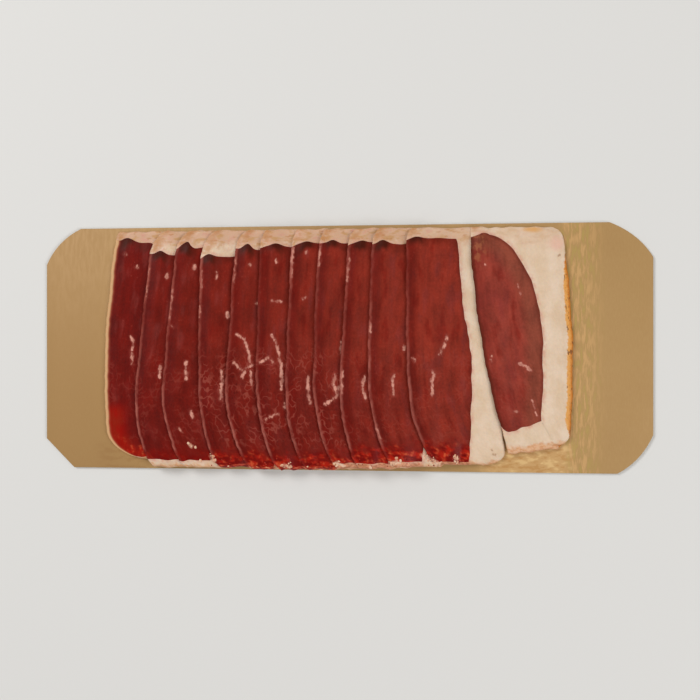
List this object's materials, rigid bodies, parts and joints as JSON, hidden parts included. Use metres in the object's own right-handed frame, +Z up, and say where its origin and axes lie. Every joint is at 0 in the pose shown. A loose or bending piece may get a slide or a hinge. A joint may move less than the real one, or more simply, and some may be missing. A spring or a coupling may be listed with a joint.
{
  "type": "pack of sliced smoked duck breast",
  "caption": "Flat oblong card with cut corners, carrying smoked duck breast slices shingled along it, each a thin lean plate edged with fat and skin.",
  "frame": {"origin": "middle of the card's underside", "axes": "+X along the card in the order in which the slices are laid, +Y to the card's far side, +Z up off the card"},
  "size_m": [0.25, 0.1, 0.0099],
  "materials": {
    "gold_card": "gold foil face, satin",
    "duck_lean": "moist cured meat, stands in for duck lean",
    "duck_fat": "moist fat with a golden skin edge, stands in for duck fat"
  },
  "bodies": {
    "root": {"card": "gold_card", "slice_01_lean": "duck_lean", "slice_01_fat": "duck_fat", "slice_02_lean": "duck_lean", "slice_02_fat": "duck_fat", "slice_03_lean": "duck_lean", "slice_03_fat": "duck_fat", "slice_04_lean": "duck_lean", "slice_04_fat": "duck_fat", "slice_05_lean": "duck_lean", "slice_05_fat": "duck_fat", "slice_06_lean": "duck_lean", "slice_06_fat": "duck_fat", "slice_07_lean": "duck_lean", "slice_07_fat": "duck_fat", "slice_08_lean": "duck_lean", "slice_08_fat": "duck_fat", "slice_09_lean": "duck_lean", "slice_09_fat": "duck_fat", "slice_10_lean": "duck_lean", "slice_10_fat": "duck_fat", "slice_11_lean": "duck_lean", "slice_11_fat": "duck_fat", "slice_12_lean": "duck_lean", "slice_12_fat": "duck_fat"}
  },
  "joints": []
}
